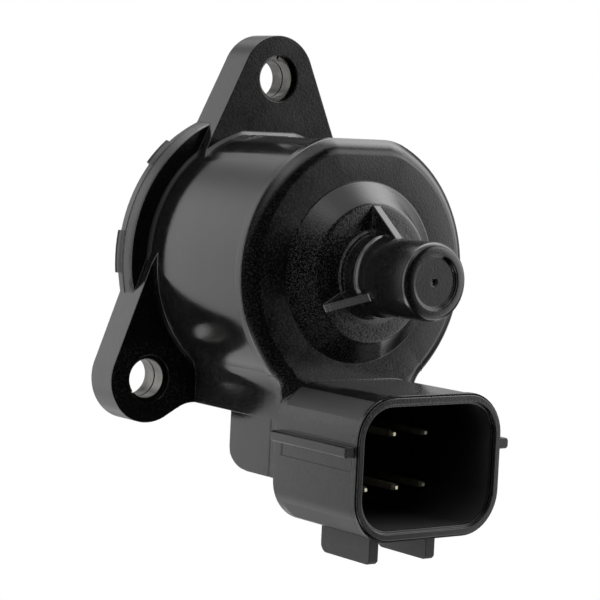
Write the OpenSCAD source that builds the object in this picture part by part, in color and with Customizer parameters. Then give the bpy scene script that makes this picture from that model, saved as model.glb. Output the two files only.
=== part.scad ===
// Idle air control valve of the bolt on stepper kind.
// The valve axis lies along Y. The mounting face is at y = 0 and looks towards plus Y.
// The blind nose points towards minus Y and the plug socket hangs below. Millimetres, plus Z up.

/* [Flange and ears] */
// Radius of the round flange disc
flange_r = 21.2; // [21:0.1:21.6]
// Thickness of the round flange disc
flange_t = 3.6; // [3.4:0.1:4]
// Thickness of both ears
ear_t = 5.4; // [5:0.1:6]
// Radius of the rounded tip of each ear
ear_tip_r = 6.15; // [5.9:0.05:6.5]
// Distance from the valve axis to the hole of the upper ear
ear_top_reach = 26.0; // [25:0.25:27]
// Direction of the upper ear in degrees
ear_top_angle = 87; // [84:1:90]
// Distance from the valve axis to the hole of the lower ear
ear_low_reach = 25.0; // [24.5:0.25:26]
// Direction of the lower ear in degrees
ear_low_angle = 222; // [219:1:225]
// Bore radius of the two compression sleeves
sleeve_bore_r = 2.75; // [2.65:0.05:2.9]
// Wall thickness of the compression sleeves
sleeve_wall = 0.58; // [0.5:0.02:0.66]
// Depth of the sleeve below the front face of its ear
sleeve_set_back = 0.78; // [0.6:0.02:0.9]

/* [Can and front bezel] */
// Outer radius of the can
can_r = 18.3; // [18.1:0.1:18.5]
// Height of the flat on top of the can
can_flat = 17.75; // [17.5:0.05:17.9]
// Wall thickness of the can
can_wall = 2.3; // [2.1:0.1:2.4]
// Half width of the neck below the can
neck_half = 10.7; // [10.5:0.1:11]
// Depth of the neck's underside below the can
neck_below = 2.0; // [1.7:0.1:2.3]
// Outer radius of the front bezel
bezel_r = 18.9; // [18.8:0.1:19.2]
// Depth of the flat front face of the bezel
bezel_face = 28.3; // [28:0.1:28.8]
// Radial size of the rounding at the bezel's front edge
bezel_round = 2.2; // [1.8:0.1:2.4]

/* [Boss and nose] */
// Outer radius of the boss where it leaves the bezel face
boss_r = 12.4; // [12.2:0.1:12.7]
// Radius of the grained pad on top of the boss
pad_r = 9.15; // [8.9:0.05:9.4]
// Rise of the boss above the bezel face
boss_rise = 2.65; // [2.4:0.05:2.9]
// Radius of the nose
nose_r = 5.25; // [5.1:0.05:5.35]
// Depth of the nose's end face
nose_end = 44.3; // [43.5:0.1:45]
// Width of the three gusset ribs at the foot of the nose
rib_w = 1.2; // [1:0.1:1.5]

/* [Plug socket] */
// Half width of the socket
socket_half = 12.1; // [11.9:0.1:12.4]
// Height of the socket
socket_h = 18.9; // [18.7:0.1:19.3]
// Wall thickness of the socket
socket_wall = 1.35; // [1.2:0.05:1.5]
// Depth of the socket's open mouth
socket_mouth = 45.0; // [44:0.1:46]
// Corner radius of the socket
socket_corner = 5.8; // [5.4:0.1:6]
// Spacing of the terminals across the socket
pin_pitch_x = 5.2; // [5:0.05:5.3]
// Spacing of the two rows of terminals
pin_pitch_z = 7.05; // [6.9:0.05:7.1]
// Width of the square terminals
pin_w = 0.8; // [0.7:0.05:1]
// Depth of the terminal tips
pin_tip = 38.0; // [37:0.1:39]

/* [Mounting side] */
// Radius of the pilot spigot that enters the throttle body
pilot_r = 14.0; // [13.8:0.1:14.4]
// Length of the pilot spigot
pilot_len = 8.5; // [8.2:0.1:9]
// Section diameter of the sealing ring
ring_d = 2.0; // [1.8:0.05:2.2]

/* [Drive] */
// Radius of the lead screw over its thread crests
screw_r = 2.0; // [1.9:0.05:2.1]
// Radial running clearance of the turning and sliding fits
run_gap = 0.05; // [0.03:0.01:0.08]
// Stroke of the pintle
stroke = 8.0; // [7:0.25:8]
// Share of the can's inner radius that the ring magnet fills
rotor_share = 0.4125; // [0.4:0.0025:0.42]
// Radial air gap between the magnet and the claw poles
air_gap = 0.5; // [0.3:0.05:0.55]
// Wire diameter of the return spring
wire_d = 0.7; // [0.6:0.05:0.75]
// Radius of the pintle at its spring seat
pintle_r = 6.0; // [5.8:0.05:6.2]

/* [Hidden] */
$fn = 96;
e = 0.02;

// flange side
flange_lip = 1.35;
ear_base_r = can_r - 0.9;
ear_top_left = can_r - 1.9;
ear_top_right = can_r - 0.4;
ear_low_inner = can_r - 6.5;
ear_root = 0.5;
ear_blend = 5.0;
sleeve_r = sleeve_bore_r + sleeve_wall;
lug_out = 0.42;

// can
cavity_r = can_r - can_wall;
cavity_end = 25.0;
mouth_r = cavity_r + 1.0;
mouth_depth = 3.5;
neck_drop = can_r + neck_below;
neck_wall = 1.6;
well_half = 6.9;
well_drop = neck_drop - neck_wall;
bezel_back = 25.4;
bezel_edge = bezel_face - 1.5;
// share of the rounding's radial size and of its depth at each step
edge_steps = [[0, 0], [0.18, 0.36], [0.45, 0.72], [0.74, 0.93], [1, 1]];
bezel_flat = can_flat + 0.3;
flat_ease = 0.25;
flat_round = can_r / 2;
bezel_neck = neck_half + (bezel_r - can_r);
fillet_r = 4.0;
can_root = 0.35;
bezel_fillet_r = 4.2;

// nose and boss
pad_d = bezel_face + boss_rise;
step1_r = nose_r + 0.75;
step1_d = pad_d + 0.62;
step2_r = nose_r + 0.4;
step2_d = pad_d + 3.25;
nose_round = 0.85;
nose_recess_r = nose_r - 1.9;
nose_recess = 0.45;
bush_r = 4.6;
bush_end = 28.0;
nose_bore_r = screw_r + 0.9;
nose_bore_end = nose_end - 2.6;

// socket, its top is tied to the neck so that the rows stay in the rear block
socket_rise = 5.6;
socket_top = socket_rise - neck_drop;
socket_low = socket_top - socket_h;
socket_mid = (socket_top + socket_low) / 2;
socket_back = bezel_face - 1.5;
socket_floor = bezel_face + 0.1;
socket_in = socket_half - socket_wall;
block_half = neck_half - 0.3;
block_low = socket_low + 5.4;
block_back = 13.9;
row_top = socket_mid - 0.15 + pin_pitch_z / 2;
row_low = socket_mid - 0.15 - pin_pitch_z / 2;
rail_top = socket_mid + 3.2;
rail_h = 1.45;
rail_out = socket_half + 1.75;
recess_t = 0.12;
seam_t = 0.12;
row_shift = -0.4;
low_row_shift = 0.05;
low_row_extra = 0.7;
top_row_short = 0.25;
foot_in = 4.05;
foot_w = 1.55;
foot_low = socket_low - 4.0;

// cover
cover_out = 0.2;
cover_r = mouth_r - 0.05;
cover_push = 5.0;
bearing_r = 6.5;
bearing_in_r = 3.0;
bearing_front = 5.5;
bearing_w = 4.0;
bearing_back = bearing_front - bearing_w;
pocket_r = pintle_r + 2.0;
pocket_floor = 1.0;
guide_r = screw_r + run_gap;
flat_at = screw_r - 0.4;
groove_from = 4.8;
groove_w = ring_d + 0.5;
ring_proud = 0.25;
groove_r = pilot_r + ring_proud - ring_d;

// stator, counted back from the closed end of the cavity
magnet_r = cavity_r * rotor_share;
iron = 0.8;
stack = 9.6;
claw_len = 7.6;
pole_in = magnet_r + air_gap;
pole_out = pole_in + 0.7;
cup_r = cavity_r - 0.1;
cup_in = cup_r - 0.9;
mid_d = cavity_end - stack;
rear_d = cavity_end - 2 * stack;
bobbin_in = pole_out + 0.05;
bobbin_core = bobbin_in + 0.65;
bobbin_out = cup_in - 0.15;
coil_out = bobbin_out - 0.8;
claws = 6;
claw_w = 22;
gap_root = (pole_in + 0.35) * sin(30 - claw_w / 2 - 2);
gap_tip = (pole_in + 0.35) * sin(30 - claw_w / 2 + 2);
lug_half = well_half - 0.3;
lug_drop = well_drop - 0.2;
lug_top = lug_drop - 5.3;
slot_top = cup_in - 5.5;
turn_top = cavity_end - 3.0;
turn_low = mid_d + 1.0;
front_lug = turn_top - 1.8;
rear_lug = turn_low - 6.0;
lug_gap = 0.3;
flange_w = 0.7;

// rotor
magnet_from = rear_d + 0.9;
magnet_to = cavity_end - 1.0;
hub_r = magnet_r * 15 / 22;
journal_r = 3.2;

// pintle and screw, drawn fully extended
spring_solid = 5.0;
seat_d = pocket_floor + stroke + spring_solid;
screw_tail = nose_bore_end - stroke - 3.7;
screw_head = seat_d + 4.5;
thread_from = 8.0;
thread_step = 1.6;
cone_len = 7.0;
cone_end_r = 2.0;
tip_round = 1.3;
tip_flat = cone_end_r - 1.4;
spring_mid_r = pintle_r - 1.4;
spring_turns = 5.5;

// turns local depth, which runs towards the nose, onto minus Y
module lay() {
  rotate([90, 0, 0]) children();
}

module tube(r_out, r_in, from, to) {
  difference() {
    translate([0, 0, from]) cylinder(r = r_out, h = to - from);
    translate([0, 0, from - 1]) cylinder(r = r_in, h = to - from + 2);
  }
}

// box given by its low and high corners
module span(a, b) {
  translate(a) cube(b - a);
}

// upright box with four rounded edges
module rounded(half, low, high, r, from, to) {
  span([-half, low + r, from], [half, high - r, to]);
  span([-half + r, low, from], [half - r, high, to]);
  for (sx = [-1, 1]) {
    translate([sx * (half - r), low + r, from]) cylinder(r = r, h = to - from);
    translate([sx * (half - r), high - r, from]) cylinder(r = r, h = to - from);
  }
}

// concave corner between a round of radius big and a neck side at half
module corner(big, half, f, from, to, round, edge) {
  cy = -sqrt(pow(big + f, 2) - pow(half + f, 2));
  k = 1 - (f + 3.4) / (big + f);
  difference() {
    translate([0, 0, from])
      linear_extrude(height = to - from)
        polygon([[half + f, cy], [half - 3.4, cy], [half - 3.4, cy * k], [(half + f) * k, cy * k]]);
    translate([half + f, cy, from - 1]) cylinder(r = f, h = to - from + 2);
    if (round > 0)
      translate([half + f, cy, edge])
        rotate_extrude()
          polygon(concat([[0, 0]], [for (p = edge_steps) [f + round * p[0], (to - edge) * p[1]]],
            [[f + round, to - edge + 1], [0, to - edge + 1]]));
  }
}

// outline of one ear, each side runs tangent from the tip to its own base radius
module ear_outline(reach, angle, cw, ccw) {
  a = acos((cw - ear_tip_r) / reach);
  b = acos((ccw - ear_tip_r) / reach);
  t = ear_tip_r - 0.015;
  rotate([0, 0, angle])
    polygon([[0, 0], [cw * cos(a), -cw * sin(a)], [reach + t * cos(a), -t * sin(a)],
      [reach, 0], [reach + t * cos(b), t * sin(b)], [ccw * cos(b), ccw * sin(b)]]);
}

module ear(reach, angle, cw, ccw) {
  linear_extrude(height = ear_t)
    union() {
      rotate([0, 0, angle]) translate([reach, 0]) circle(r = ear_tip_r);
      ear_outline(reach, angle, cw, ccw);
    }
  intersection() {
    linear_extrude(height = ear_t + ear_root) ear_outline(reach, angle, cw, ccw);
    translate([0, 0, ear_t]) cylinder(r1 = can_r + ear_root, r2 = can_r - 0.3, h = ear_root + 0.3);
    rotate([0, -90, 0])
      linear_extrude(height = 60, center = true)
        polygon([[ear_t - 0.1, -40], [ear_t - 0.1, can_flat + ear_root], [ear_t, can_flat + ear_root],
          [ear_t + ear_root + 0.3, can_flat - 0.3], [ear_t + ear_root + 0.3, -40]]);
  }
}

// blend between the lower ear and the underside of the neck
module ear_foot() {
  a = ear_low_angle + acos((ear_low_inner - ear_tip_r) / ear_low_reach);
  x = (ear_low_inner + neck_drop * sin(a)) / cos(a);
  t = ear_blend * tan((a - 270) / 2);
  linear_extrude(height = ear_t)
    difference() {
      polygon([[x + t, -neck_drop], [x - t * cos(a - 270), -neck_drop - t * sin(a - 270)],
        [x - t * cos(a - 270), -neck_drop + 3], [1 - neck_half, -neck_drop + 3], [1 - neck_half, -neck_drop]]);
      translate([x + t, -neck_drop - ear_blend]) circle(r = ear_blend);
    }
}

// distance of the tangent at this angle, where a flat runs into a circle through a rounding
function eased(a, r, flat) =
  sqrt(pow(r - flat_round, 2) - pow(flat - flat_round, 2)) * (a == 0 ? 0 : sin(abs(a)))
  + (flat - flat_round) * cos(a) + flat_round;

module can() {
  difference() {
    union() {
      cylinder(r = can_r, h = bezel_back + 1);
      translate([0, 0, flange_t - 0.5]) cylinder(r1 = can_r + can_root + 0.5, r2 = can_r - 0.1, h = can_root + 0.6);
    }
    for (a = [-11.5, 0, 11.5])
      rotate([0, 0, a])
        span([-can_r, can_flat + (a == 0 ? 0 : flat_ease), flange_t], [can_r, can_r + 1, bezel_back + 2]);
  }
  span([-neck_half, -neck_drop, 0], [neck_half, -8, bezel_back + 1]);
  for (s = [0, 1])
    mirror([s, 0, 0]) corner(can_r, neck_half, fillet_r, 1, bezel_back + 1, 0, 0);
}

// everything below a flat at this height, with the rounding of the front edge
module below_flat(y) {
  h = bezel_face - bezel_edge;
  rotate([0, -90, 0])
    linear_extrude(height = 60, center = true)
      polygon(concat([[0, -40], [0, y]], [for (p = edge_steps) [bezel_edge + h * p[1], y - bezel_round * p[0]]],
        [[bezel_face, -40]]));
}

// the bezel's rounded front edge is drawn by the same steps all round
module bezel() {
  h = bezel_face - bezel_edge;
  intersection() {
    rotate_extrude()
      polygon(concat([[0, bezel_back], [bezel_r - 0.2, bezel_back], [bezel_r, bezel_back + 0.2]],
        [for (p = edge_steps) [bezel_r - bezel_round * p[0], bezel_edge + h * p[1]]], [[0, bezel_face]]));
    below_flat(bezel_flat);
    rotate([0, 0, 6]) below_flat(eased(6, bezel_r, bezel_flat));
    rotate([0, 0, -6]) below_flat(eased(6, bezel_r, bezel_flat));
    rotate([0, 0, 12]) below_flat(eased(12, bezel_r, bezel_flat));
    rotate([0, 0, -12]) below_flat(eased(12, bezel_r, bezel_flat));
    rotate([0, 0, 18]) below_flat(eased(18, bezel_r, bezel_flat));
    rotate([0, 0, -18]) below_flat(eased(18, bezel_r, bezel_flat));
  }
  rotate([90, 0, 0])
    translate([0, 0, 8])
      linear_extrude(height = 10)
        polygon(concat([[-bezel_neck, bezel_back], [bezel_neck, bezel_back]],
          [for (p = edge_steps) [bezel_neck - bezel_round * p[0], bezel_edge + h * p[1]]],
          [for (i = [len(edge_steps) - 1:-1:0]) [bezel_round * edge_steps[i][0] - bezel_neck, bezel_edge + h * edge_steps[i][1]]]));
  for (s = [0, 1])
    mirror([s, 0, 0]) corner(bezel_r, bezel_neck, bezel_fillet_r, bezel_back, bezel_face, bezel_round, bezel_edge);
}

module nose() {
  rotate_extrude()
    polygon(concat([[0, bezel_face - 1], [boss_r, bezel_face - 1], [boss_r, bezel_face], [pad_r + 0.55, pad_d - 0.25],
      [pad_r + 0.25, pad_d - 0.05], [pad_r, pad_d], [step1_r + 0.35, pad_d + 0.08], [step1_r, pad_d + 0.28],
      [step1_r, step1_d - 0.12], [step1_r - 0.12, step1_d], [step2_r + 0.06, step1_d + 0.06], [step2_r, step1_d + 0.14],
      [step2_r, step2_d - 0.15], [step2_r - 0.12, step2_d], [nose_r, step2_d + 0.6]],
      [for (a = [0:22.5:90]) [nose_r - nose_round + nose_round * cos(a), nose_end - nose_round + nose_round * sin(a)]],
      [[nose_recess_r + 0.3, nose_end], [nose_recess_r + 0.2, nose_end - nose_recess * 0.5], [nose_recess_r, nose_end - nose_recess * 0.55],
      [nose_recess_r - 0.05, nose_end - nose_recess], [0.5, nose_end - nose_recess], [0.3, nose_end - nose_recess - 0.35],
      [0, nose_end - nose_recess - 0.35]]));
  for (i = [0:2])
    rotate([0, 0, 90 + 120 * i])
      rotate([90, 0, 0])
        linear_extrude(height = rib_w, center = true)
          polygon([[3.5, pad_d - 0.6], [pad_r + 0.1, pad_d - 0.6], [pad_r + 0.1, pad_d + 0.15], [nose_r - 0.2, pad_d + 5.5], [3.5, pad_d + 5.5]]);
}

// guide rail on one side of the socket
module rail() {
  c = 0.25;
  translate([0, 0, socket_back + 1.4])
    linear_extrude(height = socket_mouth - 0.55 - socket_back - 1.4)
      polygon([[socket_half - 0.5, rail_top - rail_h], [rail_out - c, rail_top - rail_h], [rail_out, rail_top - rail_h + c],
        [rail_out, rail_top - c], [rail_out - c, rail_top], [socket_half - 0.5, rail_top]]);
}

// foot rib under the socket
module foot() {
  b = -socket_back;
  rotate([0, 90, 0])
    translate([0, 0, foot_in])
      linear_extrude(height = foot_w)
        polygon(concat([[b - 2.8, socket_low + 1], [b - 2.8, foot_low + 1.2]],
          [for (a = [15:15:75]) [b - 4 + 1.2 * cos(a), foot_low + 1.2 - 1.2 * sin(a)]],
          [[b - 4, foot_low], [b - 12.9, foot_low], [b - 13.3, foot_low + 0.4], [b - 13.3, socket_low + 1]]));
}

module socket_shell() {
  lip = 0.12;
  difference() {
    union() {
      rounded(socket_half, socket_low, socket_top, socket_corner, socket_back, socket_mouth - 0.25);
      rounded(socket_half + lip, socket_low - lip, socket_top + lip, socket_corner + lip, socket_mouth - 1.15, socket_mouth - 0.3);
      rounded(socket_half - 0.15, socket_low + 0.15, socket_top - 0.15, socket_corner - 0.15, socket_mouth - 0.6, socket_mouth);
      for (s = [0, 1])
        mirror([s, 0, 0]) {
          rail();
          foot();
        }
    }
    rounded(socket_in, socket_low + socket_wall, socket_top - socket_wall, socket_corner - socket_wall, socket_floor, socket_mouth + 1);
    rounded(socket_in + 0.35, socket_low + socket_wall - 0.35, socket_top - socket_wall + 0.35, socket_corner - socket_wall + 0.35,
      socket_mouth - 0.4, socket_mouth + 1);
    for (s = [-1, 1])
      span([s > 0 ? socket_half - recess_t : -socket_half - 2, rail_top - rail_h - 1.95, socket_floor],
        [s > 0 ? socket_half + 2 : -socket_half + recess_t, rail_top - rail_h, socket_mouth - 1.35]);
  }
}

// closed block behind the socket that hides the terminals
module rear_block() {
  difference() {
    rotate([0, 90, 0])
      linear_extrude(height = 2 * block_half, center = true)
        polygon(concat([[-block_back, -neck_drop + 2], [-block_back, block_low + 2.9]],
          [for (a = [12:12:78]) [-block_back - 4.4 + 4.4 * cos(a), block_low + 2.9 - 2.9 * sin(a)]],
          [[-block_back - 4.4, block_low], [-socket_back - 1, block_low], [-socket_back - 1, -neck_drop + 2]]));
    for (s = [-1, 1])
      span([s * block_half - seam_t, block_low - 1, bezel_back - 2.0], [s * block_half + seam_t, -neck_drop, bezel_back - 1.75]);
  }
}

function pin_x(col, row) = col * pin_pitch_x + row_shift + (row > 0 ? 0 : low_row_shift);

// two terminals of the lower row reach further than the rest, and two of the upper row less far
function tip_d(col, row) = pin_tip + (row > 0 ? -pow(min(col - 1, 0), 2) * top_row_short : (col > 0 ? 0 : low_row_extra));

// way of one terminal: straight back from its tip, then up into the well
module terminal_way(col, row, w, tip) {
  x = pin_x(col, row);
  y = row > 0 ? row_top : row_low;
  turn = row > 0 ? turn_top : turn_low;
  h = w / 2;
  span([x - h, y - h, turn - h], [x + h, y + h, tip]);
  span([x - h, y - h, turn - h], [x + h, -lug_drop, turn + h]);
}

module housing() {
  color([0.06, 0.06, 0.065]) lay() difference() {
    union() {
      rotate_extrude()
        polygon([[0, 0], [flange_r - 0.15, 0], [flange_r, 0.15], [flange_r, flange_lip], [flange_r - 0.06, flange_lip + 0.06],
          [flange_r - 0.12, flange_t - 0.25], [flange_r - 0.2, flange_t - 0.08], [flange_r - 0.36, flange_t], [0, flange_t]]);
      for (a = [130, 170])
        rotate([0, 0, a])
          rotate_extrude(angle = a == 130 ? 12 : 16)
            polygon([[flange_r - 1, 0], [flange_r + lug_out, 0], [flange_r + lug_out, 0.4], [flange_r + lug_out - 0.15, 0.7],
              [flange_r - 0.1, flange_lip - 0.08], [flange_r - 1, flange_lip - 0.08]]);
      ear(ear_top_reach, ear_top_angle, ear_top_right, ear_top_left);
      ear(ear_low_reach, ear_low_angle, ear_base_r, ear_low_inner);
      ear_foot();
      can();
      bezel();
      nose();
      socket_shell();
      rear_block();
    }
    translate([0, 0, -1]) cylinder(r = mouth_r, h = mouth_depth + 1);
    cylinder(r = cavity_r, h = cavity_end);
    span([-well_half, -well_drop, -1], [well_half, -6, cavity_end]);
    translate([0, 0, cavity_end - 1]) cylinder(r = bush_r, h = bush_end - cavity_end + 1);
    translate([0, 0, bush_end - 1]) cylinder(r = nose_bore_r, h = nose_bore_end - bush_end + 1);
    for (p = [[ear_top_reach, ear_top_angle], [ear_low_reach, ear_low_angle]])
      rotate([0, 0, p[1]])
        translate([p[0], 0, -1]) cylinder(r = sleeve_r, h = ear_t + 2);
    for (col = [-1:1], row = [0, 1])
      terminal_way(col, row, pin_w, socket_floor + 1);
  }
}

// rolled sleeve with an open seam and a shallow groove at half depth
module sleeve(reach, angle) {
  color([0.62, 0.62, 0.6]) lay() rotate([0, 0, angle]) translate([reach, 0, 0]) difference() {
    tube(sleeve_r, sleeve_bore_r, 0, ear_t - sleeve_set_back);
    tube(sleeve_bore_r + 0.12, sleeve_bore_r - 1, ear_t * 0.44, ear_t * 0.44 + 0.25);
    span([0, -0.15, -1], [sleeve_r + 1, 0.15, ear_t]);
  }
}

module pin_point(tip) {
  h = pin_w / 2;
  polygon([[-h, tip - 1], [h, tip - 1], [h, tip - 0.6], [h * 0.55, tip], [-h * 0.55, tip], [-h, tip - 0.6]]);
}

module terminal(col, row) {
  y = row > 0 ? row_top : row_low;
  color([0.72, 0.7, 0.62]) lay() {
    terminal_way(col, row, pin_w, tip_d(col, row) - 0.6);
    translate([pin_x(col, row), y, 0])
      intersection() {
        rotate([90, 0, 0]) linear_extrude(height = pin_w, center = true) pin_point(tip_d(col, row));
        rotate([90, 0, 90]) linear_extrude(height = pin_w, center = true) pin_point(tip_d(col, row));
      }
  }
}

module pilot_cover() {
  color([0.1, 0.1, 0.11]) lay() difference() {
    union() {
      translate([0, 0, cover_out]) cylinder(r = cover_r, h = mouth_depth - cover_out);
      span([-well_half + 0.1, -well_drop + 0.1, cover_out], [well_half - 0.1, -6, mouth_depth]);
      tube(cavity_r - 0.15, cavity_r - 1.8, mouth_depth - 1, cover_push);
      translate([0, 0, 1]) cylinder(r = bearing_r + 1.5, h = bearing_front - 1);
      rotate_extrude()
        polygon([[0, 1], [pilot_r, 1], [pilot_r, -groove_from], [groove_r, -groove_from], [groove_r, -groove_from - groove_w],
          [pilot_r, -groove_from - groove_w], [pilot_r, -pilot_len + 0.5], [pilot_r - 0.6, -pilot_len], [0, -pilot_len]]);
    }
    translate([0, 0, bearing_back]) cylinder(r = bearing_r, h = bearing_w + 1);
    translate([0, 0, -pilot_len - 1]) cylinder(r = pocket_r, h = pilot_len - pocket_floor + 1);
    for (i = [0:5])
      rotate([0, 0, 30 + 60 * i])
        translate([(pocket_r + groove_r) / 2 + 0.1, 0, -pilot_len - 1]) cylinder(r = (groove_r - pocket_r) / 2 - 0.8, h = pilot_len - 1);
    // guide with two flats that stops the screw from turning
    intersection() {
      translate([0, 0, -pocket_floor - 1]) cylinder(r = guide_r, h = bearing_back + pocket_floor + 2);
      span([-guide_r - 1, -flat_at - run_gap, -pocket_floor - 2], [guide_r + 1, flat_at + run_gap, bearing_back + 2]);
    }
    translate([0, 0, bearing_back - 0.5]) cylinder(r = bearing_in_r + 1.4, h = 2);
  }
}

module pilot_o_ring() {
  color([0.03, 0.03, 0.03]) lay()
    translate([0, 0, -groove_from - groove_w / 2])
      rotate_extrude() translate([groove_r + ring_d / 2, 0]) circle(r = ring_d / 2);
}

ball_mid_r = (bearing_in_r + 1 + bearing_r - 1) / 2;
ball_r = 0.95;

module race(r_out, r_in) {
  color([0.7, 0.7, 0.72]) lay() difference() {
    tube(r_out, r_in, bearing_back, bearing_front);
    translate([0, 0, bearing_back + bearing_w / 2])
      rotate_extrude() translate([ball_mid_r, 0]) circle(r = ball_r + 0.03);
  }
}

module bearing_balls() {
  color([0.8, 0.8, 0.82]) lay()
    for (i = [0:7])
      rotate([0, 0, 45 * i])
        translate([ball_mid_r, 0, bearing_back + bearing_w / 2]) sphere(r = ball_r);
}

module bearing_cage() {
  color([0.6, 0.48, 0.28]) lay() difference() {
    tube(ball_mid_r + 0.35, ball_mid_r - 0.35, bearing_back + 0.9, bearing_front - 0.9);
    for (i = [0:7])
      rotate([0, 0, 45 * i])
        translate([ball_mid_r, 0, bearing_back + bearing_w / 2])
          rotate([0, 90, 0]) cylinder(r = ball_r + 0.04, h = 2, center = true);
  }
}

module nose_bush() {
  color([0.66, 0.5, 0.3]) lay() tube(bush_r, journal_r + run_gap, cavity_end, bush_end);
}

module preload_washer() {
  color([0.6, 0.6, 0.62]) lay() tube(cavity_r - 0.4, cavity_r - 2.6, cover_push, rear_d);
}

// planar cutters for the gaps between the claws, which narrow each claw towards its tip
module claw_gaps(shift) {
  for (i = [0:claws - 1])
    rotate([0, 0, (i + shift + 0.5) * 360 / claws - 90])
      rotate([-90, 0, 0]) linear_extrude(pole_out + 0.5)
        polygon([[-gap_root, -iron], [-gap_tip, -10], [gap_tip, -10], [gap_root, -iron]]);
}

// drawn steel cup, its claws reach in from the closed end
module stator_cup() {
  difference() {
    rotate_extrude() polygon([
      [pole_in, 0], [cup_r, 0], [cup_r, stack], [cup_in, stack],
      [cup_in, iron], [pole_out, iron], [pole_out, claw_len], [pole_in, claw_len]]);
    claw_gaps(0);
    children();
  }
}

module pole_plate() {
  difference() {
    rotate_extrude() polygon([
      [pole_in, 0], [cup_in - 0.02, 0], [cup_in - 0.02, iron],
      [pole_out, iron], [pole_out, claw_len], [pole_in, claw_len]]);
    claw_gaps(0.5);
  }
}

module front_stator_cup() {
  color([0.55, 0.56, 0.57]) lay()
    translate([0, 0, cavity_end]) mirror([0, 0, 1]) stator_cup()
      span([-lug_half - 0.1, -cup_r - 1, iron], [lug_half + 0.1, -slot_top, cavity_end - front_lug + lug_gap + 0.2]);
}

module rear_stator_cup() {
  color([0.55, 0.56, 0.57]) lay()
    translate([0, 0, rear_d]) stator_cup()
      span([-lug_half - 0.1, -cup_r - 1, rear_lug - lug_gap - rear_d], [lug_half + 0.1, -slot_top, stack + 1]);
}

module front_pole_plate() {
  color([0.52, 0.53, 0.55]) lay() translate([0, 0, mid_d]) pole_plate();
}

module rear_pole_plate() {
  color([0.52, 0.53, 0.55]) lay() translate([0, 0, mid_d]) mirror([0, 0, 1]) pole_plate();
}

module bobbin(from, to) {
  tube(bobbin_out, bobbin_in, from, from + flange_w);
  tube(bobbin_out, bobbin_in, to - flange_w, to);
  tube(bobbin_core, bobbin_in, from, to);
}

// the coil former carries a block that meets the upper terminals in the well
module front_bobbin() {
  color([0.75, 0.73, 0.66]) lay() {
    difference() {
      union() {
        bobbin(mid_d + iron, cavity_end - iron);
        span([-lug_half, -lug_drop, front_lug], [lug_half, -lug_top, cavity_end - iron]);
      }
      tube(coil_out + 0.02, bobbin_core - 0.1, mid_d + iron + flange_w, cavity_end - iron - flange_w);
    }
    tube(bobbin_core, bobbin_in, mid_d + iron, cavity_end - iron);
  }
}

module rear_bobbin() {
  color([0.75, 0.73, 0.66]) lay() {
    difference() {
      union() {
        bobbin(rear_d + iron, mid_d - iron);
        span([-lug_half, -lug_drop, rear_lug], [lug_half, -lug_top, mid_d - iron]);
        span([-lug_half, -lug_drop, rear_lug], [lug_half, -cavity_r - 0.1, turn_low + 1.0]);
      }
      tube(coil_out + 0.02, bobbin_core - 0.1, rear_d + iron + flange_w, mid_d - iron - flange_w);
    }
    tube(bobbin_core, bobbin_in, rear_d + iron, mid_d - iron);
  }
}

module winding(from, to) {
  color([0.62, 0.28, 0.12]) lay() tube(coil_out, bobbin_core, from + flange_w, to - flange_w);
}

module rotor_hub() {
  color([0.85, 0.84, 0.8]) lay() difference() {
    rotate_extrude()
      polygon([[guide_r, bearing_back + 0.1], [bearing_in_r, bearing_back + 0.1], [bearing_in_r, bearing_front], [bearing_in_r + 0.8, bearing_front],
        [bearing_in_r + 0.8, magnet_from], [hub_r, magnet_from], [hub_r, magnet_to], [journal_r, magnet_to],
        [journal_r, bush_end - 0.3], [guide_r, bush_end - 0.3]]);
    for (i = [1:7])
      tube(guide_r + 0.25, guide_r - 0.5, thread_from + thread_step * i - 0.1, thread_from + thread_step * i + 0.6);
  }
}

module ring_magnet() {
  color([0.2, 0.2, 0.21]) lay() tube(magnet_r, hub_r, magnet_from, magnet_to);
}

module lead_screw() {
  color([0.75, 0.75, 0.77]) lay() difference() {
    rotate_extrude()
      polygon([[0, -screw_head], [screw_r - 0.3, -screw_head], [screw_r, -screw_head + 0.3], [screw_r, screw_tail - 0.4],
        [screw_r - 0.4, screw_tail], [0, screw_tail]]);
    for (i = [0:10])
      tube(screw_r + 1, screw_r - 0.3, thread_from + thread_step * i, thread_from + thread_step * i + 0.9);
    for (s = [-1, 1])
      span([-screw_r - 1, s > 0 ? flat_at : -screw_r - 1, -seat_d + 2.2], [screw_r + 1, s > 0 ? screw_r + 1 : -flat_at, 3.4]);
  }
}

module pintle() {
  color([0.16, 0.16, 0.17]) lay() difference() {
    rotate_extrude()
      polygon(concat([[0, -seat_d + 2.0], [pintle_r - 2.9, -seat_d + 2.0], [pintle_r - 2.6, -seat_d + 1.7], [pintle_r - 2.6, -seat_d],
        [pintle_r - 0.3, -seat_d], [pintle_r, -seat_d - 0.3], [pintle_r, -seat_d - 1.3], [pintle_r - 0.5, -seat_d - 1.6], [cone_end_r, -seat_d - cone_len]],
        [for (a = [20:20:80]) [tip_flat + tip_round * cos(a), -seat_d - cone_len - tip_round * sin(a)]],
        [[0, -seat_d - cone_len - tip_round - 0.05]]));
    translate([0, 0, -screw_head]) cylinder(r = screw_r, h = screw_head);
  }
}

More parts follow.
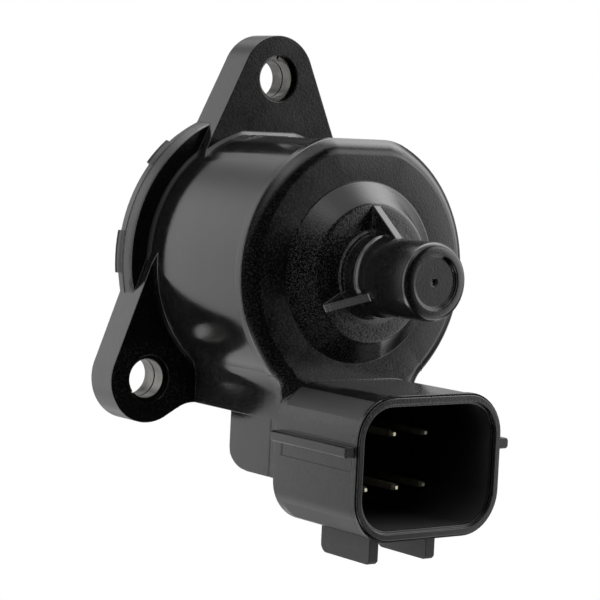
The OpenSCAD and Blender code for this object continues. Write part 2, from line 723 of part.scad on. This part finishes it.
// swept wire with closed ends
module return_spring() {
  n = 22;
  m = 8;
  steps = round(spring_turns * n);
  lo = -seat_d + wire_d / 2;
  hi = -pocket_floor - wire_d / 2;
  pts = [for (i = [0:steps]) let (t = i / steps, u = max(0, min(1, (t - 0.16) / 0.68)), ang = 360 * spring_turns * t,
    z = lo + wire_d * 0.55 * (t < 0.16 ? t / 0.16 : 1) + (hi - lo - wire_d * 1.1) * u + wire_d * 0.55 * (t > 0.84 ? (t - 0.84) / 0.16 : 0))
    for (j = [0:m - 1]) let (b = 360 * j / m, rr = spring_mid_r + wire_d / 2 * cos(b))
      [rr * cos(ang), rr * sin(ang), z + wire_d / 2 * sin(b)]];
  sides = [for (i = [0:steps - 1], j = [0:m - 1]) [i * m + j, i * m + (j + 1) % m, (i + 1) * m + (j + 1) % m, (i + 1) * m + j]];
  color([0.55, 0.56, 0.58]) lay()
    polyhedron(points = pts, faces = concat([[for (j = [m - 1:-1:0]) j]], sides, [[for (j = [0:m - 1]) steps * m + j]]));
}

housing();
sleeve(ear_top_reach, ear_top_angle);  // upper_ear_sleeve
sleeve(ear_low_reach, ear_low_angle);  // lower_ear_sleeve
terminal(-1, 1);  // terminal_1
terminal(0, 1);  // terminal_2
terminal(1, 1);  // terminal_3
terminal(-1, 0);  // terminal_4
terminal(0, 0);  // terminal_5
terminal(1, 0);  // terminal_6
pilot_cover();
pilot_o_ring();
race(bearing_r, bearing_r - 1);  // bearing_outer_race
race(bearing_in_r + 1, bearing_in_r);  // bearing_inner_race
bearing_balls();
bearing_cage();
nose_bush();
preload_washer();
front_stator_cup();
rear_stator_cup();
front_pole_plate();
rear_pole_plate();
front_bobbin();
rear_bobbin();
winding(mid_d + iron, cavity_end - iron);  // front_winding
winding(rear_d + iron, mid_d - iron);  // rear_winding
rotor_hub();
ring_magnet();
lead_screw();
pintle();
return_spring();
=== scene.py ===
"""Idle air control valve: finishes, fine pieces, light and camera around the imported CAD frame."""

import math

import bmesh
import bpy
import numpy as np
from mathutils import Matrix, Vector


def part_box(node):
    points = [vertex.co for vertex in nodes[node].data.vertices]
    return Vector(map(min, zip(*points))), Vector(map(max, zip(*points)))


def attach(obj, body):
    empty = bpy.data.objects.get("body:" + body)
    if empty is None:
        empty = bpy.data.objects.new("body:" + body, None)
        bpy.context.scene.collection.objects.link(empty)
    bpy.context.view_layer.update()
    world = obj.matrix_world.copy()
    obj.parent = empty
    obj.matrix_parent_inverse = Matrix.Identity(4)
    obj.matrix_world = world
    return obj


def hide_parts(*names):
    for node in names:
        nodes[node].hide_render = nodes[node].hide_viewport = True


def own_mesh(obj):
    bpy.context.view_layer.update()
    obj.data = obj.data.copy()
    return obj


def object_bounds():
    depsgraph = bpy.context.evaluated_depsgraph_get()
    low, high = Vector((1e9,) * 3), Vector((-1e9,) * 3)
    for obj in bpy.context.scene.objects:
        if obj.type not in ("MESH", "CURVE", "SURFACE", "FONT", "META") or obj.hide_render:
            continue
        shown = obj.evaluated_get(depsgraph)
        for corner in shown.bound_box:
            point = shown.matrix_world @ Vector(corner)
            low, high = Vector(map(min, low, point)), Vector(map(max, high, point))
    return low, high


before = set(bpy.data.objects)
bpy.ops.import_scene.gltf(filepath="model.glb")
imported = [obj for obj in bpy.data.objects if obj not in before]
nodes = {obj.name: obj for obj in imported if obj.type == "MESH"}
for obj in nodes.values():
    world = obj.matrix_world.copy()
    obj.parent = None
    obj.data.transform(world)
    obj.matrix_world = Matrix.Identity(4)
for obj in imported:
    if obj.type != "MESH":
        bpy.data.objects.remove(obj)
cad_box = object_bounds()
scene = bpy.context.scene

# Camera
PICTURE = 600  # pixels across the picture
SENSOR = 36.0  # millimetres across the camera's sensor
FOCAL = 2256.066  # focal length in pixels of the picture
UNIT = 0.00104  # metres for one unit of VIEW_POINT
VIEW_POINT = (-8.223, -6.082, 316.096)  # the part's origin, seen from the camera: right, down, forward
AZIMUTH, ELEVATION, ROLL = -36.681, 4.581, 2.704  # degrees


def camera_axes(azimuth, elevation, roll):
    """Rows: the camera's right, down and forward directions."""
    a, e, r = np.radians([azimuth, elevation, roll])
    forward = -np.array([np.sin(a) * np.cos(e), -np.cos(a) * np.cos(e), np.sin(e)])
    right = np.array([np.cos(a), np.sin(a), 0.0])
    level = np.array([right, np.cross(forward, right), forward])
    c, s = np.cos(r), np.sin(r)
    return np.array([[c, -s, 0], [s, c, 0], [0, 0, 1]]) @ level


def make_camera():
    axes = camera_axes(AZIMUTH, ELEVATION, ROLL)
    place = -axes.T @ np.array(VIEW_POINT) * UNIT
    data = bpy.data.cameras.new("camera")
    data.sensor_width = SENSOR
    data.lens = FOCAL / PICTURE * SENSOR
    data.clip_start, data.clip_end = 0.01, 20.0
    camera = bpy.data.objects.new("camera", data)
    turn = Matrix([axes[0], -axes[1], -axes[2]]).transposed()
    camera.matrix_world = Matrix.Translation(place) @ turn.to_4x4()
    scene.collection.objects.link(camera)
    scene.camera = camera


make_camera()


# Node helpers
def link(nt, a, b):
    nt.links.new(a, b)


def put(nt, socket, value):
    """Link an output into a socket, or set the socket's own value."""
    if isinstance(value, bpy.types.NodeSocket):
        nt.links.new(value, socket)
    else:
        socket.default_value = value


def math_node(nt, kind, *values):
    n = nt.nodes.new("ShaderNodeMath")
    n.operation = kind
    for i, v in enumerate(values):
        put(nt, n.inputs[i], v)
    return n.outputs[0]


def product(nt, first, *others):
    """All the values multiplied, by one node for each step."""
    for value in others:
        first = math_node(nt, "MULTIPLY", first, value)
    return first


def ramp(nt, value, low, high, out_low=0.0, out_high=1.0):
    """Smooth step of a value: out_low up to low, out_high from high on. Low may be the larger one."""
    n = nt.nodes.new("ShaderNodeMapRange")
    n.interpolation_type = "SMOOTHSTEP"
    put(nt, n.inputs["Value"], value)
    for name, v in zip(("From Min", "From Max", "To Min", "To Max"), (low, high, out_low, out_high)):
        put(nt, n.inputs[name], v)
    return n.outputs["Result"]


def dot(nt, vector, axis):
    n = nt.nodes.new("ShaderNodeVectorMath")
    n.operation = "DOT_PRODUCT"
    put(nt, n.inputs[0], vector)
    n.inputs[1].default_value = axis
    return n.outputs["Value"]


def where(nt):
    """The shaded point, along the piece's own axes."""
    return nt.nodes.new("ShaderNodeTexCoord").outputs["Object"]


def noise(nt, vector, scale, detail, rough=0.5, stretch=None):
    """Noise between 0 and 1: scale in cells to the metre, detail in finer layers, rough as their weight."""
    if stretch:
        m = nt.nodes.new("ShaderNodeMapping")
        link(nt, vector, m.inputs["Vector"])
        m.inputs["Scale"].default_value = stretch
        vector = m.outputs["Vector"]
    n = nt.nodes.new("ShaderNodeTexNoise")
    link(nt, vector, n.inputs["Vector"])
    n.inputs["Scale"].default_value = scale
    n.inputs["Detail"].default_value = detail
    n.inputs["Roughness"].default_value = rough
    return n.outputs["Fac"]


def mix_colour(nt, factor, a, b):
    n = nt.nodes.new("ShaderNodeMix")
    n.data_type = "RGBA"
    put(nt, n.inputs["Factor"], factor)
    put(nt, n.inputs["A"], a)
    put(nt, n.inputs["B"], b)
    return n.outputs["Result"]


def cloudy(nt, cloud, dark, pale):
    """Colour that drifts between two tones."""
    return mix_colour(nt, ramp(nt, cloud, 0.3, 0.7), dark, pale)


def grey(v):
    return (v, v, v, 1.0)


def material(name):
    m = bpy.data.materials.new(name)
    m.use_nodes = True
    nt = m.node_tree
    nt.nodes.clear()
    out = nt.nodes.new("ShaderNodeOutputMaterial")
    shader = nt.nodes.new("ShaderNodeBsdfPrincipled")
    link(nt, shader.outputs[0], out.inputs["Surface"])
    return m, nt, shader


def relief(nt, height, depth, edge):
    """Normal of a surface with small bumps and with its edges rounded to the radius edge."""
    corner = nt.nodes.new("ShaderNodeBevel")
    corner.samples = 6
    corner.inputs["Radius"].default_value = edge
    n = nt.nodes.new("ShaderNodeBump")
    n.inputs["Strength"].default_value = 1.0
    n.inputs["Distance"].default_value = depth
    link(nt, height, n.inputs["Height"])
    link(nt, corner.outputs["Normal"], n.inputs["Normal"])
    return n.outputs["Normal"]


# Materials

# Places on the housing in metres. A mask starts at the first number of a pair and is full at the second.
FRONT_Y = (-0.0215, -0.0255)  # from the can's side to the bezel
BOSS_RADIUS = (0.0128, 0.0123)  # from the bezel to the boss
PAD_Y, PAD_RADIUS = (-0.0296, -0.0302), (0.0098, 0.0092)  # from the boss to the pad
NOSE_Y = (-0.0322, -0.0318)  # from the nose back to the pad
NECK_TOP_Z, NECK_LOW_Z = (-0.0105, -0.0135), (-0.0225, -0.0185)
MOUTH_Y = (-0.0446, -0.0440)  # from the socket's lip inwards
BOTTOM_Y = (-0.0282, -0.0283)  # from the socket's bottom outwards
SOCKET_MIDDLE_Z = -0.02415
SOCKET_HALF_WIDTH, SOCKET_HALF_HEIGHT = (0.0114, 0.0112), (0.0089, 0.0087)
ROOT_Y, ROOT_RADIUS = (-0.0043, -0.0042), (0.0188, 0.0187)  # the ring at the can's root
FEET_Z = (-0.0334, -0.0338)  # from the socket's underside to the foot ribs

# Grain of the housing
LOW_LEFT = (-0.85, 0, -0.53)  # direction from the axis in which the front is grainy
SPREAD = (-0.15, 0.55)  # cosine of the angle from there at which the grain starts and at which it is full
RAGGED = 0.8  # how far that border wanders
BEZEL_GRAIN = 0.2  # grain of the bezel, as a share of the boss's
NECK_GRAIN = (0.2, 0.6)  # least and most grain on the neck

# Skin of the housing. The first number of a pair is for plain skin and the second for the grainiest.
SPECK_TONE = 0.042  # a fibre's end
SPECK_SHARE = (0.32, 1.0)  # how far a speck takes on that tone
SPECK_ROUGH = (0.03, 0.16)  # how much rougher it is
GRAIN_DEPTH = 0.00008  # metres
GRAIN_SHARE = (0.06, 0.13)  # how much of that depth the coarse grain has
WAVE_SHARE = 0.12  # and how much the slow waves have
INSIDE_PAINTED_LIGHT = 0.032  # the socket's inside, painted much paler than the skin as painted light in the deep recess
MATT_ROUGH = 0.4  # how much rougher the socket's inside, the root ring and the foot ribs are

PLASTIC_DEPTH = 0.000012  # grain of the other plastics

# Radius to which edges look rounded
HOUSING_EDGE, PLASTIC_EDGE, SEAL_EDGE, METAL_EDGE = 0.00012, 0.00014, 0.00005, 0.0001


def grain_mask(nt, p, y, z, radius):
    """Where fibres come to the surface: low on the left of the front, on the pad and on the neck."""
    ragged = product(nt, math_node(nt, "SUBTRACT", noise(nt, p, 420.0, 4.0, 0.65), 0.5), RAGGED)
    low_left = math_node(nt, "DIVIDE", dot(nt, p, LOW_LEFT), radius)
    side = ramp(nt, math_node(nt, "ADD", low_left, ragged), *SPREAD)
    side = product(nt, side, ramp(nt, radius, *BOSS_RADIUS, BEZEL_GRAIN, 1.0))
    pad = product(nt, ramp(nt, y, *PAD_Y), ramp(nt, radius, *PAD_RADIUS))
    spots = math_node(nt, "MAXIMUM", side, pad)
    front = product(nt, ramp(nt, y, *FRONT_Y), ramp(nt, y, *NOSE_Y), spots)
    patchy = ramp(nt, ragged, -0.3, 0.3, *NECK_GRAIN)
    neck = product(nt, ramp(nt, z, *NECK_TOP_Z), ramp(nt, z, *NECK_LOW_Z), patchy)
    return math_node(nt, "MAXIMUM", front, neck)


def inside_mask(nt, x, y, z):
    """The socket's inside, from its bottom to just behind its lip: its tone is painted paler there as
    painted light, and its skin is rougher.
    """
    along = product(nt, ramp(nt, y, *MOUTH_Y), ramp(nt, y, *BOTTOM_Y))
    wide = ramp(nt, math_node(nt, "ABSOLUTE", x), *SOCKET_HALF_WIDTH)
    off = math_node(nt, "ABSOLUTE", math_node(nt, "SUBTRACT", z, SOCKET_MIDDLE_Z))
    return product(nt, along, wide, ramp(nt, off, *SOCKET_HALF_HEIGHT))


def moulding(name, dark, pale, rough):
    """The glass filled housing: glossy skin, and grain where the fibres come to the surface."""
    m, nt, shader = material(name)
    p = where(nt)
    split = nt.nodes.new("ShaderNodeSeparateXYZ")
    link(nt, p, split.inputs[0])
    x, y, z = split.outputs
    radius = math_node(nt, "SQRT", math_node(nt, "MULTIPLY_ADD", x, x, product(nt, z, z)))
    grainy = grain_mask(nt, p, y, z, radius)
    inside = inside_mask(nt, x, y, z)
    cloud = noise(nt, p, 160.0, 3.0, 0.6)
    coarse = noise(nt, p, 3600.0, 0.0)
    fine = noise(nt, p, 4400.0, 2.0, 0.8)

    tone = cloudy(nt, cloud, grey(dark), grey(pale))
    speck = product(nt, ramp(nt, fine, 0.42, 0.66), ramp(nt, grainy, 0.0, 1.0, *SPECK_SHARE))
    tone = mix_colour(nt, speck, tone, grey(SPECK_TONE))
    # the socket's inside gets a paler tone: painted light standing in for light reaching the deep recess
    link(nt, mix_colour(nt, inside, tone, grey(INSIDE_PAINTED_LIGHT)), shader.inputs["Base Color"])

    root = product(nt, ramp(nt, y, *ROOT_Y), ramp(nt, radius, *ROOT_RADIUS))
    matt = math_node(nt, "MAXIMUM", math_node(nt, "MAXIMUM", root, ramp(nt, z, *FEET_Z)), inside)
    specks = product(nt, ramp(nt, fine, 0.4, 0.64), ramp(nt, grainy, 0.0, 1.0, *SPECK_ROUGH))
    skin = math_node(nt, "ADD", ramp(nt, cloud, 0.25, 0.75, rough - 0.03, rough + 0.04), specks)
    link(nt, math_node(nt, "MULTIPLY_ADD", matt, MATT_ROUGH, skin), shader.inputs["Roughness"])

    grain = product(nt, coarse, ramp(nt, grainy, 0.0, 1.0, *GRAIN_SHARE))
    height = math_node(nt, "MULTIPLY_ADD", cloud, WAVE_SHARE, grain)
    link(nt, relief(nt, height, GRAIN_DEPTH, HOUSING_EDGE), shader.inputs["Normal"])
    return m


def plastic(name, dark, pale, rough, edge=PLASTIC_EDGE):
    """Moulded plastic: fine grain, uneven gloss and soft edges."""
    m, nt, shader = material(name)
    p = where(nt)
    cloud = noise(nt, p, 130.0, 3.0, 0.55)
    fine = noise(nt, p, 2600.0, 3.0, 0.6)
    link(nt, cloudy(nt, cloud, grey(dark), grey(pale)), shader.inputs["Base Color"])
    gloss = math_node(nt, "ADD", ramp(nt, cloud, 0.25, 0.75, rough - 0.04, rough + 0.05),
                      ramp(nt, fine, 0.3, 0.7, -0.03, 0.03))
    link(nt, gloss, shader.inputs["Roughness"])
    height = math_node(nt, "MULTIPLY_ADD", cloud, 1.5, fine)
    link(nt, relief(nt, height, PLASTIC_DEPTH, edge), shader.inputs["Normal"])
    return m


def metal(name, dark, pale, rough, scale=900.0, stretch=None, depth=0.000006):
    """Metal with drawn or turned marks, uneven tone and soft edges."""
    m, nt, shader = material(name)
    p = where(nt)
    marks = noise(nt, p, scale, 4.0, 0.6, stretch)
    cloud = noise(nt, p, 180.0, 3.0, 0.6)
    link(nt, cloudy(nt, cloud, dark, pale), shader.inputs["Base Color"])
    shader.inputs["Metallic"].default_value = 1.0
    gloss = math_node(nt, "ADD", ramp(nt, cloud, 0.25, 0.75, rough - 0.05, rough + 0.06),
                      ramp(nt, marks, 0.3, 0.7, -0.04, 0.04))
    link(nt, gloss, shader.inputs["Roughness"])
    link(nt, relief(nt, marks, depth, METAL_EDGE), shader.inputs["Normal"])
    return m


def dress(m, *names):
    for name in names:
        own = nodes[name].data.materials
        own.clear()
        own.append(m)


# Tinted metals: darker and paler colour
BRASS = (0.60, 0.42, 0.16, 1), (0.72, 0.52, 0.22, 1)
BRONZE = (0.42, 0.25, 0.12, 1), (0.52, 0.32, 0.16, 1)
COPPER = (0.52, 0.20, 0.08, 1), (0.66, 0.28, 0.12, 1)
# steel darkened far below its own tone: painted shade for the sleeves inside the ear holes
SLEEVE_STEEL_PAINTED_SHADE = (0.05, 0.049, 0.046, 1), (0.16, 0.157, 0.149, 1)
TIN = (0.62, 0.60, 0.46, 1), (0.76, 0.74, 0.60, 1)

# The numbers after a finish's name are its darker tone, its paler tone and its roughness.
housing_mat = moulding("housing_plastic_fine", 0.0015, 0.003, 0.13)
spring_mat = metal("spring_steel_fine", grey(0.42), grey(0.55), 0.28)
screw_mat = metal("screw_steel_fine", grey(0.45), grey(0.58), 0.26)

dress(housing_mat, "housing")
dress(spring_mat, "return_spring", "preload_washer")
dress(screw_mat, "lead_screw")
dress(plastic("cover_plastic_fine", 0.014, 0.021, 0.34), "pilot_cover")
dress(plastic("seal_rubber_fine", 0.012, 0.02, 0.45, SEAL_EDGE), "pilot_o_ring")
dress(plastic("hub_plastic_fine", 0.02, 0.03, 0.35), "rotor_hub")
dress(plastic("bobbin_plastic_fine", 0.45, 0.5, 0.4), "front_bobbin", "rear_bobbin")
dress(plastic("pintle_plastic_fine", 0.10, 0.13, 0.34), "pintle")
dress(plastic("magnet_ferrite_fine", 0.05, 0.07, 0.5), "ring_magnet")
dress(metal("bearing_steel_fine", grey(0.55), grey(0.65), 0.2),
      "bearing_outer_race", "bearing_inner_race", "bearing_balls")
dress(metal("cage_brass_fine", *BRASS, 0.3), "bearing_cage")
dress(metal("bush_bronze_fine", *BRONZE, 0.42), "nose_bush")
dress(metal("stator_iron_fine", grey(0.38), grey(0.48), 0.38),
      "front_stator_cup", "rear_stator_cup", "front_pole_plate", "rear_pole_plate")
dress(metal("winding_copper_fine", *COPPER, 0.3, scale=500.0, stretch=(1, 9, 1), depth=0.00004),
      "front_winding", "rear_winding")
# the sleeves' steel is painted dark as painted shade inside the ear holes
dress(metal("sleeve_steel_fine", *SLEEVE_STEEL_PAINTED_SHADE, 0.28, scale=300.0, stretch=(0.3, 6, 0.3)),
      "upper_ear_sleeve", "lower_ear_sleeve")
dress(metal("terminal_tin_fine", *TIN, 0.42, stretch=(6, 1, 6)), *[f"terminal_{i}" for i in range(1, 7)])


# Housing with rounded edges
EDGE = 0.0001  # radius of the moulding's small edge roundings
WELD = 2e-6  # corners nearer than this are one
SHARP, FOLD = math.radians(32), math.radians(150)  # an edge between these angles is rounded


def settle(piece):
    """Apply the modifiers to the piece's own mesh."""
    seen = piece.evaluated_get(bpy.context.evaluated_depsgraph_get())
    mesh = bpy.data.meshes.new_from_object(seen)
    piece.modifiers.clear()
    piece.data = mesh


def even_normals(mesh):
    """Shade each vertex by the faces that aren't part of an edge rounding, so flat faces stay flat."""
    bm = bmesh.new()
    bm.from_mesh(mesh)
    normals = []
    for v in bm.verts:
        corners = [c for c in v.link_loops if c.face.material_index == 0] or list(v.link_loops)
        shares = (c.face.normal * c.calc_angle() * c.face.calc_area() for c in corners)
        total = sum(shares, Vector((0, 0, 0)))
        normals.append(total.normalized() if total.length > 0 else v.normal)
    for f in bm.faces:
        f.material_index = 0
        f.smooth = True
    bm.to_mesh(mesh)
    bm.free()
    mesh.normals_split_custom_set_from_vertices(normals)


def take_place(piece, node, body):
    """The piece stands for a CAD node, which it hides, and moves with its body."""
    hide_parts(node)
    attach(piece, body)


def rounded_copy(name, node, m, radius):
    """A copy of a CAD node with rounded edges and even shading over its facets."""
    bm = bmesh.new()
    bm.from_mesh(nodes[node].data)
    bmesh.ops.remove_doubles(bm, verts=bm.verts, dist=WELD)
    bm.normal_update()
    weight = bm.edges.layers.float.new("bevel_weight_edge")
    for e in bm.edges:
        e[weight] = 1.0 if len(e.link_faces) == 2 and SHARP < e.calc_face_angle(0) < FOLD else 0.0
    for f in bm.faces:
        f.smooth = True
        f.material_index = 0
    mesh = bpy.data.meshes.new(name)
    bm.to_mesh(mesh)
    bm.free()
    piece = bpy.data.objects.new(name, mesh)
    scene.collection.objects.link(piece)
    for layer in list(mesh.color_attributes):
        mesh.color_attributes.remove(layer)
    bevel = piece.modifiers.new("round", "BEVEL")
    bevel.width, bevel.segments, bevel.limit_method = radius, 2, "WEIGHT"
    bevel.use_clamp_overlap = False
    bevel.material = 1  # marks the roundings for even_normals
    mesh.materials.append(m)
    mesh.materials.append(m)
    settle(piece)
    even_normals(piece.data)
    piece.data.materials.pop()
    return piece


take_place(rounded_copy("housing_moulding", "housing", housing_mat, EDGE),
           "housing", "stator_and_housing")


# Spring and screw
def add_piece(name, verts, faces, m):
    mesh = bpy.data.meshes.new(name)
    mesh.from_pydata(verts, [], faces)
    mesh.materials.append(m)
    mesh.shade_smooth()
    mesh.set_sharp_from_angle(angle=SHARP)
    piece = bpy.data.objects.new(name, mesh)
    scene.collection.objects.link(piece)
    return piece


def skin_faces(rings, around):
    """Faces over a row of rings with the same number of points, closed at both ends."""
    faces = []
    for i in range(rings - 1):
        for j in range(around):
            k = (j + 1) % around
            faces.append((i * around + j, (i + 1) * around + j, (i + 1) * around + k, i * around + k))
    faces.append(tuple(range(around)))
    faces.append(tuple((rings - 1) * around + j for j in range(around - 1, -1, -1)))
    return faces


SPRING_LOW, SPRING_HIGH = 0.001, 0.014  # the cover's pocket floor and the pintle's seat at rest
SPRING_R, WIRE_R, SPRING_TURNS = 0.0046, 0.00035, 5.5
CLOSED = 0.16  # share of the wire in each closed end
CLOSED_RISE = 1.1 * WIRE_R  # how far a closed end climbs


def coil_spring(rings=441, around=14):
    """Round wire with closed ends, so that it stands square on both seats."""
    rise = SPRING_HIGH - SPRING_LOW - 2 * WIRE_R
    verts = []
    for i in range(rings):
        t = i / (rings - 1)
        free = min(max((t - CLOSED) / (1 - 2 * CLOSED), 0), 1)
        ends = min(t / CLOSED, 1) + max((t - 1 + CLOSED) / CLOSED, 0)
        along = SPRING_HIGH - WIRE_R - (CLOSED_RISE * ends + (rise - 2 * CLOSED_RISE) * free)
        turn = 2 * math.pi * SPRING_TURNS * t
        for j in range(around):
            b = 2 * math.pi * j / around
            r = SPRING_R + WIRE_R * math.cos(b)
            verts.append((r * math.cos(turn), along - WIRE_R * math.sin(b), r * math.sin(turn)))
    return verts, skin_faces(rings, around)


spring = add_piece("coil_spring", *coil_spring(), spring_mat)
take_place(spring, "return_spring", "stator_and_housing")
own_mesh(spring)

SCREW_R, SCREW_CHAMFER = 0.002, 0.0003
SCREW_FLAT = 0.0016  # from the axis to each of the two flats
FLAT_LOW, FLAT_HIGH = -0.0034, 0.0118
THREAD_LOW, THREAD_HIGH = -0.0249, -0.0078
THREAD_PITCH, THREAD_DEPTH = 0.002, 0.0003
THREAD_SLOPE = 0.16  # share of the pitch that each side of a groove takes


def threaded_screw(low, high, around=72, step=0.0001):
    """Lead screw along Y, its thread a real helix and its guide part with two flats."""
    count = int(round((high - low) / step))
    verts = []
    for i in range(count + 1):
        y = low + (high - low) * i / count
        end = min(y - low, high - y)
        for j in range(around):
            turn = 2 * math.pi * j / around
            r = SCREW_R - max(SCREW_CHAMFER - end, 0)
            if THREAD_LOW < y < THREAD_HIGH:
                phase = (y / THREAD_PITCH + turn / (2 * math.pi)) % 1
                wall = min(max((0.5 - abs(phase - 0.5) * 2) / THREAD_SLOPE + 0.5, 0), 1)
                runout = min((y - THREAD_LOW) / THREAD_PITCH, (THREAD_HIGH - y) / THREAD_PITCH, 1)
                r -= THREAD_DEPTH * wall * runout
            if FLAT_LOW < y < FLAT_HIGH:
                r = min(r, SCREW_FLAT / max(abs(math.sin(turn)), 1e-6))
            verts.append((r * math.cos(turn), y, r * math.sin(turn)))
    return verts, skin_faces(count + 1, around)


screw_low, screw_high = (corner[1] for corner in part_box("lead_screw"))
screw = add_piece("threaded_screw", *threaded_screw(screw_low, screw_high), screw_mat)
take_place(screw, "lead_screw", "plunger")


# Light

# Soft lamps round the valve, as a photographer would set them. Each is an oval patch of the surroundings:
# azimuth from straight in front towards the right, elevation, half width and half height, all in degrees,
# and its strength.
LAMPS = [
    (-100, 10, 18, 55, 3.4),  # tall wall on the left
    (-158, 3, 18, 30, 2.6),  # its far end
    (-108, -54, 22, 17, 5.0),  # table on the left, lit by the wall
    (78, 25, 17, 30, 4.2),  # main lamp on the right
    (132, 58, 30, 22, 5.0),  # lamp above the backdrop
    (20, 66, 45, 13, 1.5),  # sheet overhead
    (53, -3, 11, 23, 2.8),  # narrow strip at the front right
    (40, -21, 8, 8, 1.4),  # its foot
    (44, 20, 10, 18, 3.0),  # its upper end, turned inwards
    (66, -48, 26, 14, 2.8),  # table on the right
    (180, -38, 20, 12, 1.1),  # table behind
    (-85, 74, 30, 12, 1.6),  # edge of the sheet overhead
]
BACKDROP = (143, -5, 33)  # azimuth, elevation and half width of the white backdrop behind the valve
BACKDROP_GLOW = 0.6
LAMP_TONE = 0.8
FLOOR_REACH, FLOOR_GAP = 4, 0.0004  # half the floor's width, and how far it lies under the part


def facing(azimuth, elevation):
    """Direction of a light, its azimuth counted from straight in front, towards the right."""
    a, e = math.radians(azimuth), math.radians(elevation)
    return np.array([math.sin(a) * math.cos(e), -math.cos(a) * math.cos(e), math.sin(e)])


def lamp(nt, ray, azimuth, elevation, half_width, half_height, strength):
    """Oval patch of light, even in the middle and half as strong at its half width and half height."""
    axis = facing(azimuth, elevation)
    right = np.cross(axis, (0, 0, 1))
    right /= np.linalg.norm(right)
    up = np.cross(right, axis)
    radius = 0
    for side, half in ((right, half_width), (up, half_height)):
        off = dot(nt, ray, side / math.sin(math.radians(half)))
        radius = math_node(nt, "MULTIPLY_ADD", off, off, radius)
    fade = math_node(nt, "POWER", 0.5, product(nt, radius, radius))
    ahead = math_node(nt, "GREATER_THAN", dot(nt, ray, axis), 0)
    return product(nt, fade, ahead, strength)


def show_white(nt, kind, other):
    """White where rays see the surroundings straight or through glass, and else the other shader."""
    white = nt.nodes.new(kind)
    white.inputs["Color"].default_value = grey(1)
    path = nt.nodes.new("ShaderNodeLightPath").outputs
    choose = nt.nodes.new("ShaderNodeMixShader")
    seen = math_node(nt, "MAXIMUM", path["Is Camera Ray"], path["Is Transmission Ray"])
    link(nt, seen, choose.inputs[0])
    link(nt, other.outputs[0], choose.inputs[1])
    link(nt, white.outputs[0], choose.inputs[2])
    return choose.outputs[0]


def make_world():
    """Lamps for the light, and a white backdrop for the camera, glass and, more softly, glossy things."""
    world = bpy.data.worlds.new("studio")
    scene.world = world
    world.use_nodes = True
    nt = world.node_tree
    nt.nodes.clear()
    ray = nt.nodes.new("ShaderNodeTexCoord").outputs["Generated"]
    azimuth, elevation, half = BACKDROP
    behind = lamp(nt, ray, azimuth, elevation, half, half, BACKDROP_GLOW)
    total = product(nt, behind, nt.nodes.new("ShaderNodeLightPath").outputs["Is Glossy Ray"])
    for patch in LAMPS:
        total = math_node(nt, "ADD", total, lamp(nt, ray, *patch))
    light = nt.nodes.new("ShaderNodeBackground")
    light.inputs["Color"].default_value = grey(LAMP_TONE)
    link(nt, total, light.inputs["Strength"])
    out = nt.nodes.new("ShaderNodeOutputWorld")
    link(nt, show_white(nt, "ShaderNodeBackground", light), out.inputs["Surface"])


def make_floor():
    """White floor for the camera; the lamps on the table stand for the light that it gives back."""
    low = cad_box[0][2] - FLOOR_GAP
    corners = [(FLOOR_REACH * x, FLOOR_REACH * y, low) for x, y in ((-1, -1), (1, -1), (1, 1), (-1, 1))]
    mesh = bpy.data.meshes.new("floor")
    mesh.from_pydata(corners, [], [(0, 1, 2, 3)])
    floor = bpy.data.objects.new("floor", mesh)
    scene.collection.objects.link(floor)
    m = bpy.data.materials.new("floor_white")
    m.use_nodes = True
    nt = m.node_tree
    nt.nodes.clear()
    clear = nt.nodes.new("ShaderNodeBsdfTransparent")
    out = nt.nodes.new("ShaderNodeOutputMaterial")
    link(nt, show_white(nt, "ShaderNodeEmission", clear), out.inputs["Surface"])
    mesh.materials.append(m)


make_world()
make_floor()
scene.view_settings.view_transform = "Standard"
